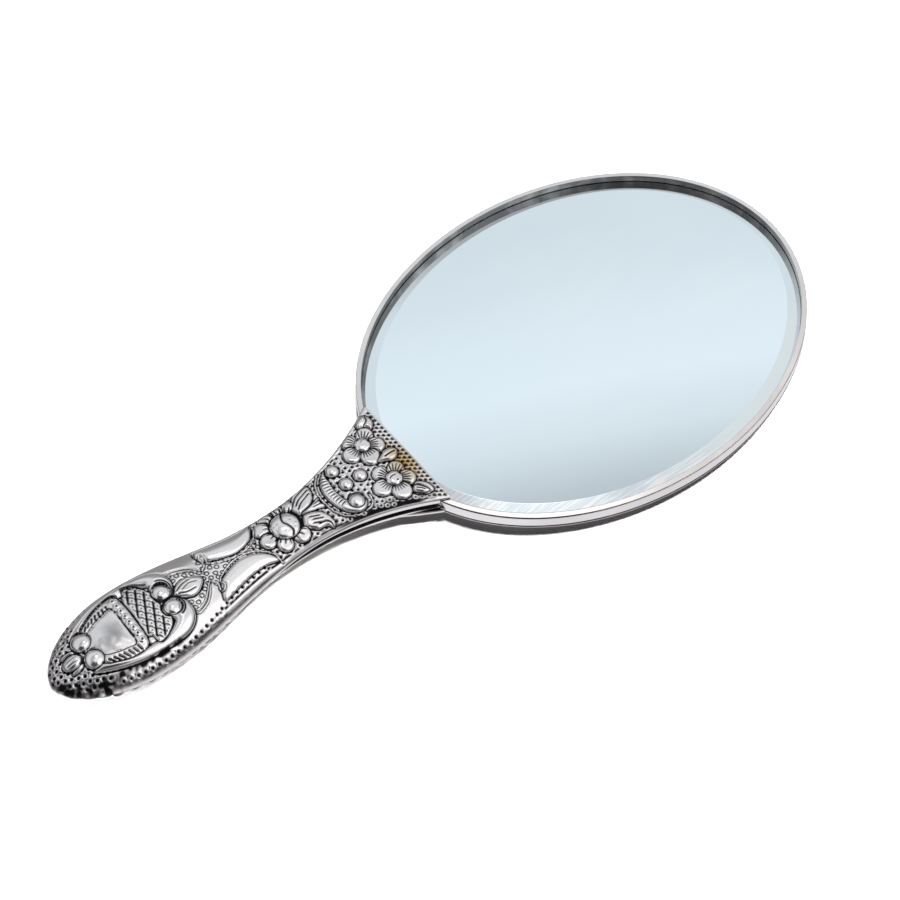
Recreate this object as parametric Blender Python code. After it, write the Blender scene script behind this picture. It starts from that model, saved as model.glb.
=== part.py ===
"""An ornate silver hand mirror, lying glass up: an oval bevelled glass in a bezel and band, and a filled handle
made of two embossed shells round a steel tang. Metres, +Z up, +Y from the handle's tail to the head. The origin
is under the middle of the whole mirror, on the surface that it lies on."""

from math import cos, pi, sin, sqrt

import bmesh
import bpy
from mathutils import Matrix, Vector

MM = 0.001

# Driving dimensions
LENGTH = 280 * MM
HEAD_LENGTH = 154 * MM
HEAD_WIDTH = 120 * MM
LIP_TOP = 9.0 * MM  # the bezel's flat front, above the table
SHEET = 0.6 * MM  # the silver sheet of the shells and the back
GAP = 0.3 * MM  # between pieces that are soldered or pressed together

# Head, from the front to the back
HEAD_Y = LENGTH / 2 - HEAD_LENGTH / 2
LIP_WIDTH = 1.8 * MM
LIP_THICKNESS = 0.5 * MM
BAND_WALL = 0.8 * MM
BEZEL_BOTTOM = LIP_TOP - 2.3 * MM
GLASS_THICKNESS = 2.6 * MM
GLASS_INSET = BAND_WALL + GAP
GLASS_TOP = LIP_TOP - 1.5 * MM
BEVEL_WIDTH = 5.1 * MM
BEVEL_DROP = 1.2 * MM
BACK_DEPTH = 3.6 * MM  # how far the dished back hangs below the band
BACK_FLAT = 0.4  # the share of the dish, from its centre, that is flat
CARD_INSET = 5.0 * MM
CARD_THICKNESS = 0.6 * MM
FILLER_SHARE = 0.88  # the filler's outline, as a share of the head's

# Handle, by distance from the tail's tip
BULB_AT = 31 * MM
NECK_AT = 88 * MM
CHORD_AT = 133.5 * MM  # the straight front edge that overlaps the glass
BULB_WIDTH = 33 * MM
NECK_WIDTH = 18.4 * MM
CHORD_WIDTH = 44 * MM
SEAM = 5.6 * MM  # where the two shells meet
BULB_TOP, NECK_TOP, CHORD_TOP = 13.6 * MM, 10.5 * MM, 9.9 * MM
BULB_LOW, NECK_LOW, HEAD_LOW = 0.0, 3.0 * MM, 3.6 * MM
TAIL_ROUNDNESS = 0.56
STRIP_PROUD = 0.2 * MM
STRIP_AT = 80 * MM  # the seam strips start here, and the shells part to take them
BUTT = 0.15 * MM  # half the gap where the shells meet edge to edge
STRIP_WIDTH = 2.0 * MM
TURNED_EDGE = 2.3 * MM  # height of the front shell's turned-down edge at the flare
TANG_RADIUS = 1.8 * MM

OVAL_STEPS = 96
LENGTH_STEPS = 36
ROUND_STEPS = 18


def start_scene():
    for obj in list(bpy.data.objects):
        bpy.data.objects.remove(obj)
    groups = []
    for name in ("hand_mirror", "cutters"):
        group = bpy.data.collections.new(name)
        bpy.context.scene.collection.children.link(group)
        groups.append(group)
    return groups


PARTS, CUTTERS = start_scene()


def material(name, color, roughness, metallic):
    found = bpy.data.materials.get(name)
    if found:
        return found
    made = bpy.data.materials.new(name)
    made.use_nodes = True
    shader = made.node_tree.nodes["Principled BSDF"]
    shader.inputs["Base Color"].default_value = (*color, 1)
    shader.inputs["Roughness"].default_value = roughness
    shader.inputs["Metallic"].default_value = metallic
    return made


def silver():
    return material("silver", (0.80, 0.79, 0.77), 0.22, 1.0)


def oxidised_silver():
    return material("oxidised_silver", (0.55, 0.55, 0.56), 0.35, 1.0)


def mirror():
    return material("mirror", (0.80, 0.88, 0.91), 0.03, 1.0)


def card():
    return material("card", (0.42, 0.33, 0.22), 0.9, 0.0)


def pitch():
    return material("pitch", (0.16, 0.12, 0.09), 0.7, 0.0)


def steel():
    return material("steel", (0.45, 0.45, 0.46), 0.4, 1.0)


def add(name, mesh, finish, group=None):
    """Links a mesh as an object with its material, shaded smooth but for its sharp edges."""
    obj = bpy.data.objects.new(name, mesh)
    (group or PARTS).objects.link(obj)
    if finish:
        mesh.materials.append(finish)
    mesh.shade_smooth()
    mesh.set_sharp_from_angle(angle=pi / 6)
    return obj


def cutter(name, mesh):
    obj = add(name, mesh, None, CUTTERS)
    obj.hide_render = True
    obj.display_type = "WIRE"
    return obj


def cut(obj, tool):
    boolean = obj.modifiers.new("cut by " + tool.name, "BOOLEAN")
    boolean.operation = "DIFFERENCE"
    boolean.object = tool
    return obj


def oval(inset, steps=OVAL_STEPS):
    """Points of the head's outline, moved inwards by inset."""
    long, across = HEAD_LENGTH / 2 - inset, HEAD_WIDTH / 2 - inset
    turns = [2 * pi * i / steps for i in range(steps)]
    return [(across * sin(t), HEAD_Y - long * cos(t)) for t in turns]


def flat_outline(name, outlines, low, high):
    """A flat piece from closed outlines, the second and later ones holes, as a mesh with welded caps."""
    curve = bpy.data.curves.new(name, "CURVE")
    curve.dimensions = "2D"
    curve.fill_mode = "BOTH"
    curve.extrude = (high - low) / 2
    for points in outlines:
        spline = curve.splines.new("POLY")
        spline.points.add(len(points) - 1)
        for point, (x, y) in zip(spline.points, points):
            point.co = (x, y, 0, 1)
        spline.use_cyclic_u = True
    guide = bpy.data.objects.new(name, curve)
    CUTTERS.objects.link(guide)
    guide.location.z = (high + low) / 2
    bpy.context.view_layer.update()
    graph = bpy.context.evaluated_depsgraph_get()
    mesh = bpy.data.meshes.new_from_object(guide.evaluated_get(graph))
    mesh.transform(guide.matrix_world)
    bpy.data.objects.remove(guide)
    weld(mesh)
    return mesh


def weld(mesh):
    shape = bmesh.new()
    shape.from_mesh(mesh)
    bmesh.ops.remove_doubles(shape, verts=shape.verts, dist=1e-6)
    bmesh.ops.recalc_face_normals(shape, faces=shape.faces)
    shape.to_mesh(mesh)
    shape.free()


def loft(name, sections, round_section=False, close_start=False, close_end=False):
    """Quads between sections with as many points each; a section of one point is a tip. round_section joins
    each section's last point to its first."""
    shape = bmesh.new()
    rows = [[shape.verts.new(p) for p in section] for section in sections]
    for first, second in zip(rows, rows[1:]):
        count = max(len(first), len(second))
        for i in range(count if round_section else count - 1):
            j = (i + 1) % count
            corners = [first[i % len(first)], first[j % len(first)]]
            corners += [second[j % len(second)], second[i % len(second)]]
            shape.faces.new(list(dict.fromkeys(corners)))
    if close_start and len(rows[0]) > 1:
        shape.faces.new(rows[0][::-1])
    if close_end and len(rows[-1]) > 1:
        shape.faces.new(rows[-1])
    bmesh.ops.recalc_face_normals(shape, faces=shape.faces)
    mesh = bpy.data.meshes.new(name)
    shape.to_mesh(mesh)
    shape.free()
    return mesh


# ---- Head ----


def bezel_ring():
    """The flat front lip with a skirt that goes down to the glass, one L-shaped ring."""
    low, step = BEZEL_BOTTOM, LIP_TOP - LIP_THICKNESS
    ring = add("bezel_ring", flat_outline("bezel_ring", [oval(0), oval(LIP_WIDTH)], low, LIP_TOP), silver())
    rebate = [oval(-2 * MM), oval(GLASS_INSET)]
    cut(ring, cutter("bezel_rebate", flat_outline("bezel_rebate", rebate, low - MM, step)))


def back_height(share):
    """Height of the dished back's outer face at a share of the way from its centre to its rim."""
    rise = max(0.0, (share - BACK_FLAT) / (1 - BACK_FLAT))
    return BACK_DEPTH * rise**2.5


def dish(share, lift):
    """A ring of points on the back's outer face, lifted."""
    points = oval(0)
    centre = Vector((0, HEAD_Y))
    spread = [centre + (Vector(p) - centre) * share for p in points]
    return [(x, y, back_height(share) + lift) for x, y in spread]


def back_plate():
    """The dished back of the head, a sheet with a flat middle that the mirror lies on."""
    shares = [BACK_FLAT * 0.5, BACK_FLAT, 0.52, 0.64, 0.74, 0.83, 0.9, 0.96, 1.0]
    outer = [dish(s, 0) for s in shares]
    inner = [dish(s, SHEET) for s in reversed(shares)]
    sections = [[(0, HEAD_Y, 0)], *outer, *inner, [(0, HEAD_Y, SHEET)]]
    add("back_plate", loft("back_plate", sections, round_section=True), oxidised_silver())


def rim_band():
    """The upright band round the head, between the bezel's lip and the back."""
    low, high = BACK_DEPTH + SHEET + GAP, LIP_TOP - LIP_THICKNESS - GAP
    add("rim_band", flat_outline("rim_band", [oval(0), oval(BAND_WALL)], low, high), silver())


def mirror_glass():
    """The bevelled glass, silvered on its back."""
    edge, field = GLASS_INSET, GLASS_INSET + BEVEL_WIDTH
    bottom = GLASS_TOP - GLASS_THICKNESS
    levels = [(edge, bottom), (edge, GLASS_TOP - BEVEL_DROP), (field, GLASS_TOP)]
    sections = [[(x, y, z) for x, y in oval(inset)] for inset, z in levels]
    mesh = loft("mirror_glass", sections, round_section=True, close_start=True, close_end=True)
    add("mirror_glass", mesh, mirror())


def glass_backing_card():
    """A card that keeps the silvering off the filler."""
    high = GLASS_TOP - GLASS_THICKNESS - GAP
    mesh = flat_outline("glass_backing_card", [oval(CARD_INSET)], high - CARD_THICKNESS, high)
    add("glass_backing_card", mesh, card())


def head_filler():
    """The pitch and plaster that fills the dished back under the card."""
    high = GLASS_TOP - GLASS_THICKNESS - CARD_THICKNESS - 2 * GAP
    shares = [BACK_FLAT, 0.55, 0.68, 0.79, FILLER_SHARE]
    under = [dish(s, SHEET + GAP) for s in shares]
    top = [(x, y, high) for x, y, _ in under[-1]]
    mesh = loft("head_filler", [*under, top], round_section=True, close_start=True, close_end=True)
    add("head_filler", mesh, pitch())


# ---- Handle ----


def ease(at, start, end):
    """0 at start, 1 at end, with a level beginning and end."""
    t = min(1.0, max(0.0, (at - start) / (end - start)))
    return (1 - cos(pi * t)) / 2


def tail_share(at):
    """How much of the bulb's full size the rounded tail has."""
    back = (BULB_AT - min(at, BULB_AT)) / BULB_AT
    return (1 - back * back) ** TAIL_ROUNDNESS


def half_width(at):
    """Half the handle's width: an elliptical tail, a waist and a flare that spreads as a parabola."""
    if at <= BULB_AT:
        return BULB_WIDTH / 2 * tail_share(at)
    waist = BULB_WIDTH + (NECK_WIDTH - BULB_WIDTH) * ease(at, BULB_AT, NECK_AT)
    flare = max(0.0, (at - NECK_AT) / (CHORD_AT - NECK_AT)) ** 2
    return (waist + (CHORD_WIDTH - NECK_WIDTH) * flare) / 2


def crown(at):
    """Height of the handle's front along its middle."""
    if at <= BULB_AT:
        return SEAM + (BULB_TOP - SEAM) * tail_share(at)
    falling = BULB_TOP + (NECK_TOP - BULB_TOP) * ease(at, BULB_AT, NECK_AT)
    return falling + (CHORD_TOP - NECK_TOP) * ease(at, NECK_AT, CHORD_AT)


def belly(at):
    """Height of the handle's back along its middle."""
    if at <= BULB_AT:
        return SEAM + (BULB_LOW - SEAM) * tail_share(at)
    rising = BULB_LOW + (NECK_LOW - BULB_LOW) * ease(at, BULB_AT, NECK_AT)
    return rising + (HEAD_LOW - NECK_LOW) * ease(at, NECK_AT, CHORD_AT)


def squareness(at):
    """Exponent of the section's superellipse: round at the bulb, nearly a flat plate at the glass."""
    return 2.3 + 9.0 * ease(at, NECK_AT, CHORD_AT) ** 1.5


def stations(start, end, steps=LENGTH_STEPS):
    """Distances from the tip, closer together towards the rounded tail."""
    return [start + (end - start) * (i / steps) ** 1.4 for i in range(steps + 1)]


def arch(at, inset, edge_height, top_height, steps=ROUND_STEPS):
    """Half a superellipse across the handle at a distance from the tip, from -X over to +X. It runs from
    edge_height at its sides to top_height in the middle."""
    w, n = half_width(at) - inset, squareness(at)
    y = at - LENGTH / 2
    points = []
    for i in range(steps + 1):
        turn = pi * i / steps
        across = -cos(turn)
        x = w * (1 if across > 0 else -1) * abs(across) ** (2 / n)
        z = edge_height + (top_height - edge_height) * abs(sin(turn)) ** (2 / n)
        points.append((x, y, z))
    return points


def recess(at):
    """Depth of the step under the flare's turned-down edge, which fades out towards the bulb."""
    return 0.9 * MM * ease(at, NECK_AT - 20 * MM, NECK_AT + 10 * MM)


def stepped(at, points, edge_height):
    """The arch with the step under its turned-down edge."""
    depth, under = recess(at) + 0.01 * MM, LIP_TOP + 1.0 * MM - TURNED_EDGE
    left, right = Vector(points[0]), Vector(points[-1])
    steps = [(0, under), (depth, under - 0.2 * MM), (depth, edge_height)]
    low = [(left.x + inward, left.y, z) for inward, z in reversed(steps)]
    high = [(right.x - inward, right.y, z) for inward, z in steps]
    return [*low, *points[1:-1], *high]


def seam_gap(at):
    """Height of a shell's edge from the seam's middle: a butt joint at the bulb, room for a strip at the neck."""
    return BUTT + (SHEET / 2 + GAP - BUTT) * ease(at, STRIP_AT - 10 * MM, STRIP_AT - 2 * MM)


def sheet_shell(name, edge, outside, inside):
    """A half shell of the handle: outside and inside give its two faces across the handle at a distance from
    the tip, and edge its edge's height. The inside starts flat on the edge, so the tail is closed."""
    sections = [[(0, -LENGTH / 2, edge(0))]]
    for i, at in enumerate(stations(0, CHORD_AT)[1:]):
        hollow = inside(at)
        if i == 0:
            hollow = [(x, y, edge(at)) for x, y, _ in hollow]
        sections.append([*outside(at), *reversed(hollow)])
    return add(name, loft(name, sections, round_section=True, close_end=True), oxidised_silver())


def head_cutter(name, reach, low, high):
    return cutter(name, flat_outline(name, [oval(-reach)], low, high))


def handle_front_shell():
    """The embossed front of the handle. Its flare is a plate that overlaps the bezel and the glass."""

    def edge(at):
        return SEAM + seam_gap(at)

    def outside(at):
        return stepped(at, arch(at, 0, edge(at), crown(at)), edge(at))

    def inside(at):
        return arch(at, SHEET + recess(at), edge(at), crown(at) - SHEET)

    shell = sheet_shell("handle_front_shell", edge, outside, inside)
    cut(shell, head_cutter("front_clearance", GAP, -MM, LIP_TOP + GAP))


def handle_back_shell():
    """The embossed back of the handle, from the tail to the head's rim."""
    inset = 0.3 * MM

    def edge(at):
        return SEAM - seam_gap(at)

    def outside(at):
        return arch(at, inset, edge(at), belly(at))

    def inside(at):
        return arch(at, inset + SHEET, edge(at), belly(at) + SHEET)

    shell = sheet_shell("handle_back_shell", edge, outside, inside)
    cut(shell, head_cutter("back_clearance", GAP, -MM, LIP_TOP))


def seam_strip(name, side):
    """A strip soldered between the shells along one side of the neck and the flare, where it stands just proud."""
    outer, inner = [], []
    for at in stations(STRIP_AT, CHORD_AT, 20):
        edge = half_width(at) + STRIP_PROUD * ease(at, STRIP_AT, STRIP_AT + 12 * MM)
        outer.append((side * edge, at - LENGTH / 2))
        inner.append((side * (half_width(at) - STRIP_WIDTH), at - LENGTH / 2))
    mesh = flat_outline(name, [[*outer, *reversed(inner)]], SEAM - SHEET / 2, SEAM + SHEET / 2)
    cut(add(name, mesh, silver()), head_cutter("clearance of " + name, GAP, -MM, LIP_TOP))


def seam_strips():
    seam_strip("seam_strip_left", -1)
    seam_strip("seam_strip_right", 1)


def handle_filler():
    """The pitch that fills the handle round the tang."""
    wall = SHEET + GAP
    inset = STRIP_WIDTH + GAP
    start, end = 5 * MM, NECK_AT + 34 * MM
    sections = []
    for at in stations(start, end, 20):
        over = arch(at, inset, SEAM, crown(at) - wall - 0.2 * MM, 12)
        under = arch(at, inset, SEAM, belly(at) + wall + 0.2 * MM, 12)
        sections.append([*over, *under[-2:0:-1]])
    mesh = loft("handle_filler", sections, round_section=True, close_start=True, close_end=True)
    filler = add("handle_filler", mesh, pitch())
    cut(filler, cutter("tang_bore", rod_mesh("tang_bore", TANG_RADIUS + GAP, BULB_AT - 16 * MM, end + MM)))


def rod_mesh(name, radius, start, end):
    """A round bar along the handle's middle, between two distances from the tip."""
    shape = bmesh.new()
    bmesh.ops.create_cone(shape, cap_ends=True, segments=20, radius1=radius, radius2=radius, depth=end - start)
    bmesh.ops.rotate(shape, verts=shape.verts, matrix=Matrix.Rotation(pi / 2, 3, "X"))
    middle = (start + end) / 2 - LENGTH / 2
    bmesh.ops.translate(shape, verts=shape.verts, vec=(0, middle, SEAM + 0.6 * MM))
    mesh = bpy.data.meshes.new(name)
    shape.to_mesh(mesh)
    shape.free()
    return mesh


YOKE_THICKNESS = 1.2 * MM
YOKE_WIDTH = 26 * MM


def tang_rod():
    """The steel bar that stiffens the handle."""
    yoke_back = LENGTH - HEAD_LENGTH - GAP - YOKE_THICKNESS
    end = yoke_back - GAP
    add("tang_rod", rod_mesh("tang_rod", TANG_RADIUS, BULB_AT - 15 * MM, end), steel())


def tang_yoke():
    """The curved steel cross-piece that is soldered to the band and carries the tang."""
    face, back = -GAP, -GAP - YOKE_THICKNESS
    around = [p for p in oval(face, 192) if abs(p[0]) < YOKE_WIDTH / 2 and p[1] < HEAD_Y]
    behind = [p for p in oval(back, 192) if abs(p[0]) < YOKE_WIDTH / 2 and p[1] < HEAD_Y]
    around.sort()
    behind.sort()
    outline = [*around, *reversed(behind)]
    low, high = HEAD_LOW + SHEET + GAP, LIP_TOP - LIP_THICKNESS - GAP
    add("tang_yoke", flat_outline("tang_yoke", [outline], low, high), steel())


for make in (
    bezel_ring,
    rim_band,
    mirror_glass,
    glass_backing_card,
    head_filler,
    back_plate,
    handle_front_shell,
    handle_back_shell,
    seam_strips,
    handle_filler,
    tang_rod,
    tang_yoke,
):
    make()
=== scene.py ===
"""The looks of the silver hand mirror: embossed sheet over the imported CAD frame, a bevelled glass, and the
camera and light of the photograph."""

from math import cos, pi, radians, sin

import bmesh
import bpy
import numpy as np
from mathutils import Matrix, Vector


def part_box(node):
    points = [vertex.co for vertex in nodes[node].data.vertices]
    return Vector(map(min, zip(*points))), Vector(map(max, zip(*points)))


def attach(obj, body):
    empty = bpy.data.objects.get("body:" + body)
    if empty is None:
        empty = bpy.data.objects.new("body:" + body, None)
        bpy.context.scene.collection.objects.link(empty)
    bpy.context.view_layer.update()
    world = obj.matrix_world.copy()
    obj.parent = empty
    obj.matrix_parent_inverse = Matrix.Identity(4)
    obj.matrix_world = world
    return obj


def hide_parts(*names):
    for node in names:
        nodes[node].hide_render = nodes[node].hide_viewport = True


MM = 0.001
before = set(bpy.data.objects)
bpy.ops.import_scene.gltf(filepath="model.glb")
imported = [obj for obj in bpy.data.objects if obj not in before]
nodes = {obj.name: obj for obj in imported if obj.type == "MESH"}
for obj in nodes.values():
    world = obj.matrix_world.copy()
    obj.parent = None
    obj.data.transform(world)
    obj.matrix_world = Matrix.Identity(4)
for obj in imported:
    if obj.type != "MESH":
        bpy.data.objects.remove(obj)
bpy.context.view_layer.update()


def corners(node):
    """A node's lowest and highest corners, in mm."""
    low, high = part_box(node)
    return np.array(low) / MM, np.array(high) / MM


# ---- Sizes, from the frame, in mm ----

BEZEL_LOW, BEZEL_HIGH = corners("bezel_ring")
BAND_LOW, BAND_HIGH = corners("rim_band")
GLASS_LOW, GLASS_HIGH = corners("mirror_glass")
BACK_LOW, BACK_HIGH = corners("back_plate")
FRONT_LOW, FRONT_HIGH = corners("handle_front_shell")
REAR_LOW = corners("handle_back_shell")[0]
STRIP_LOW, STRIP_HIGH = corners("seam_strip_left")

HEAD_Y = (BEZEL_LOW[1] + BEZEL_HIGH[1]) / 2
HEAD_LONG = (BEZEL_HIGH[1] - BEZEL_LOW[1]) / 2
HEAD_ACROSS = (BEZEL_HIGH[0] - BEZEL_LOW[0]) / 2
LIP_TOP = BEZEL_HIGH[2]
TAIL_Y = FRONT_LOW[1] - HEAD_Y  # from here on y is counted from the middle of the glass
CHORD_Y = FRONT_HIGH[1] - HEAD_Y
SEAM = (STRIP_LOW[2] + STRIP_HIGH[2]) / 2
BUTT = FRONT_LOW[2] - SEAM
SHEET = 0.6
GAP = 0.3
LIP_WIDTH = 1.8
LIP_THICKNESS = 0.5
BAND_WALL = 0.8
BEVEL_WIDTH = 5.1

# The handle's outline repeats part.py's, by distance from the tail's tip
BULB_AT, STRIP_AT, NECK_AT, CHORD_AT = 31.0, 80.0, 88.0, CHORD_Y - TAIL_Y
BULB_WIDTH, NECK_WIDTH, CHORD_WIDTH = 33.0, 18.4, 44.0
BULB_TOP, NECK_TOP, CHORD_TOP = FRONT_HIGH[2], 10.5, 9.9
BULB_LOW, NECK_LOW, CHORD_LOW = REAR_LOW[2], 3.0, 3.6
TAIL_ROUNDNESS = 0.56
PLATE_OVER_LIP, TURNED_DOWN = 1.0, 2.3
TURNED_EDGE = LIP_TOP + PLATE_OVER_LIP - TURNED_DOWN
TURN_START, TURN_END = NECK_AT - 20, NECK_AT + 10
RECESS = 0.9

ROUND_POWER, FLARE_POWER = 2.3, 9.0  # of the section's superellipse: at the bulb, and what the flare adds

# How fine the meshes are. In mm: the relief's grid and the rows of the handle's front and back
CELL, FRONT_SPACING, BACK_SPACING = 0.1, 0.262, 0.36
# In points: across a row of the handle, and round and across the head
FRONT_COLUMNS, BACK_COLUMNS, INNER_COLUMNS = 168, 120, 10
OVAL_STEPS, BACK_STEPS, BACK_RINGS = 360, 420, 190
# In steps: between a curve's points, along the handle's outline and over one of its arches
CURVE_STEPS, OUTLINE_SAMPLES, ARCH_SAMPLES = 8, 6000, 721

# ---- Embossing: heights in mm over a grid of plan positions, in mm from the middle of the glass ----


def smooth_curve(points, closed=False):
    """A Catmull-Rom curve through points, as a polyline."""
    points = [np.array(p, float) for p in points]
    if closed:
        knots = [points[-1], *points, points[0], points[1]]
    else:
        knots = [2 * points[0] - points[1], *points, 2 * points[-1] - points[-2]]
    line = []
    for a, b, c, d in zip(knots, knots[1:], knots[2:], knots[3:]):
        for t in np.arange(CURVE_STEPS) / CURVE_STEPS:
            bend, twist = 2 * a - 5 * b + 4 * c - d, 3 * b - a - 3 * c + d
            line.append((2 * b + (c - a) * t + bend * t**2 + twist * t**3) / 2)
    line.append(line[0] if closed else points[-1])
    return np.array(line)


def arc(x, y, radius, start, end, steps=16, stretch=1.0):
    """Points along a circle's arc, in degrees from +X, anticlockwise where end is above start."""
    turns = np.radians(np.linspace(start, end, steps))
    return np.stack([x + radius * np.cos(turns), y + radius * stretch * np.sin(turns)], 1)


def heading(degrees):
    """The unit vector at an angle from +X, anticlockwise."""
    return np.array([np.cos(np.radians(degrees)), np.sin(np.radians(degrees))])


def smoothstep(value, low, high):
    t = np.clip((value - low) / (high - low), 0, 1)
    return t * t * (3 - 2 * t)


def peak(value, width):
    """A smooth peak, 1 where value is 0."""
    return np.exp(-((value / width) ** 2))


WHOLE = slice(None)


class Relief:
    """A height map that motifs are stamped on one after another, the later ones in front."""

    def __init__(self, low, high):
        self.low = np.array(low, float)
        xs = np.arange(low[0], high[0] + CELL, CELL)
        ys = np.arange(low[1], high[1] + CELL, CELL)
        self.x, self.y = np.meshgrid(xs, ys)
        self.height = np.zeros_like(self.x)
        # How black each cell is: tarnish, and on the handle's front also painted shade
        self.tarnish_and_shade = np.zeros_like(self.x)

    def near(self, points, reach):
        """The slices of the grid within reach of some points."""
        points = np.atleast_2d(points)
        first = np.floor((points.min(0) - reach - self.low) / CELL).astype(int)
        last = np.ceil((points.max(0) + reach - self.low) / CELL).astype(int) + 1
        rows, columns = self.x.shape
        return (
            slice(min(max(first[1], 0), rows), min(max(last[1], 0), rows)),
            slice(min(max(first[0], 0), columns), min(max(last[0], 0), columns)),
        )

    def around(self, x, y, reach):
        """The slices round a point, and the distances from it there."""
        at = self.near((x, y), reach)
        return at, np.hypot(self.x[at] - x, self.y[at] - y)

    def line_distance(self, at, line):
        """Distance from each position to a polyline."""
        x, y = self.x[at], self.y[at]
        best = np.full(x.shape, np.inf)
        for (x0, y0), (x1, y1) in zip(line, line[1:]):
            across, along = x1 - x0, y1 - y0
            length = across * across + along * along or 1e-12
            t = np.clip(((x - x0) * across + (y - y0) * along) / length, 0, 1)
            best = np.minimum(best, np.hypot(x - x0 - t * across, y - y0 - t * along))
        return best

    def shape_distance(self, at, line):
        """Distance to a closed polyline, negative inside it."""
        x, y = self.x[at], self.y[at]
        inside = np.zeros(x.shape, bool)
        for (x0, y0), (x1, y1) in zip(line, line[1:]):
            if y0 != y1:
                spans = (y0 > y) != (y1 > y)
                inside ^= spans & (x < (x1 - x0) * (y - y0) / (y1 - y0) + x0)
        return np.where(inside, -1, 1) * self.line_distance(at, line)

    def darken(self, at, amount):
        """Blackens, 0 to 1: tarnish in a chased line or a pit, and painted shade where the handle's front
        needs it.
        """
        self.tarnish_and_shade[at] = np.maximum(self.tarnish_and_shade[at], amount)

    def lay(self, at, distance, height, shoulder, moat=0.6, depth=0.45, base=0.0, soft=0.3):
        """Raises what is inside the distance as a rounded form, with a black chased line round it."""
        inner = np.clip(-distance / shoulder, 0, 1)
        form = base + height * np.sqrt(1 - (1 - inner) ** 2)
        if soft:
            form = blurred(form, soft)
        self.height[at] = np.where(distance < 0, form, self.height[at])
        self.tarnish_and_shade[at] *= 1 - smoothstep(-distance, -0.05, 0.2)
        if moat:
            line = peak(distance - moat * 0.4, moat * 0.5)
            self.height[at] -= depth * line
            self.darken(at, line**1.7)

    def form(self, points, height, shoulder, **moat):
        """A raised form from the points of its outline."""
        self.plate(smooth_curve(points, closed=True), 1.5, height, shoulder, **moat)

    def plate(self, line, reach, height, shoulder, **moat):
        """A raised form inside a closed polyline, with its chased line within reach."""
        at = self.near(line, reach)
        self.lay(at, self.shape_distance(at, line), height, shoulder, **moat)

    def boss(self, x, y, radius, height=0.9, stretch=1.0, turn=0.0, shoulder=None, **moat):
        """A round or oval boss; stretch is its length over its width, turned from +Y by turn degrees."""
        at = self.near((x, y), radius * max(1, stretch) + 1.5)
        angle = np.radians(turn)
        across = (self.x[at] - x) * np.cos(angle) + (self.y[at] - y) * np.sin(angle)
        along = (self.y[at] - y) * np.cos(angle) - (self.x[at] - x) * np.sin(angle)
        size = np.hypot(across / radius, along / (radius * stretch)) + 1e-9
        slope = np.hypot(across / radius**2, along / (radius * stretch) ** 2) + 1e-9
        distance = np.maximum(size * (size - 1) / slope, -radius)
        self.lay(at, distance, height, shoulder or radius, **moat)

    def groove(self, points, width=0.5, depth=0.4, taper=False, curve=True):
        """A chased line. A tapered one gets finer and shallower towards its end."""
        line = smooth_curve(points) if curve and len(points) > 2 else np.array(points, float)
        at = self.near(line, 3 * width)
        distance = self.line_distance(at, line)
        fade = 1.0
        if taper:
            (x0, y0), (x1, y1) = line[0], line[-1]
            run = np.array([x1 - x0, y1 - y0])
            share = ((self.x[at] - x0) * run[0] + (self.y[at] - y0) * run[1]) / (run @ run)
            fade = 1 - 0.4 * np.clip(share, 0, 1)
        cut = peak(distance, width * 0.6 * fade)
        self.height[at] -= depth * fade * cut
        self.darken(at, cut * min(1.0, depth / 0.3))

    def ridge(self, points, width=0.6, height=0.3, moat=0.5, depth=0.35, curve=True, base=None):
        """A raised line with a chased line along each side, on the ground or from a level base."""
        line = smooth_curve(points) if curve and len(points) > 2 else np.array(points, float)
        at = self.near(line, width + 1.2)
        distance = self.line_distance(at, line) - width / 2
        level = self.height[at] if base is None else base
        self.lay(at, distance, height, width / 2, moat=moat, depth=depth, base=level, soft=0)

    def ring(self, x, y, radius=0.8, pit=0.5, rim=0.16):
        """One blow of a ring punch: a black pit in a raised rim that is rubbed bright."""
        at, distance = self.around(x, y, radius + 1.0)
        bright = peak(distance - radius, 0.28)
        dark = np.exp(-((distance / (radius * 0.64)) ** 4))
        self.height[at] += rim * bright - pit * dark
        self.tarnish_and_shade[at] *= 1 - 0.95 * bright
        self.darken(at, dark)

    def eye(self, x, y):
        """One blow of a finer ring punch: a black ring round a bright dot."""
        radius = 0.66
        at, distance = self.around(x, y, radius + 1.0)
        line = peak(distance - radius, 0.2)
        self.height[at] -= 0.3 * line
        self.darken(at, line)

    def dash(self, x, y, turn, length=0.6, width=0.6, depth=0.45):
        """A short oblong punch mark, turned from +X by turn degrees."""
        run = heading(turn) * length / 2
        self.groove([(x - run[0], y - run[1]), (x + run[0], y + run[1])], width, depth)

    def punched(self, inside, punch, pitch=1.95, level=0.0, dark=0.0, seed=1):
        """Covers the ground where inside(x, y) is true with a punch's marks, a little uneven. The ground is
        sunk to level first and blackened by dark."""
        soft = blurred(inside(self.x, self.y).astype(float), 0.25)
        self.height += level * soft
        self.darken(WHOLE, dark * soft)
        random = np.random.default_rng(seed)
        low, high = self.low, (self.x.max(), self.y.max())
        for row, y in enumerate(np.arange(low[1], high[1], pitch * 0.87)):
            for x in np.arange(low[0] + (row % 2) * pitch / 2, high[0], pitch):
                jx, jy = x + random.normal(0, 0.14), y + random.normal(0, 0.14)
                if inside(jx, jy):
                    punch(jx, jy)

    def dented(self, inside, size, amount, seed):
        """Leaves the surface where inside(x, y) is true a little wavy, as hammered sheet is."""
        random = np.random.default_rng(seed)
        waves = blurred(random.standard_normal(self.x.shape), size)
        self.height += waves / waves.std() * amount * inside

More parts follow.
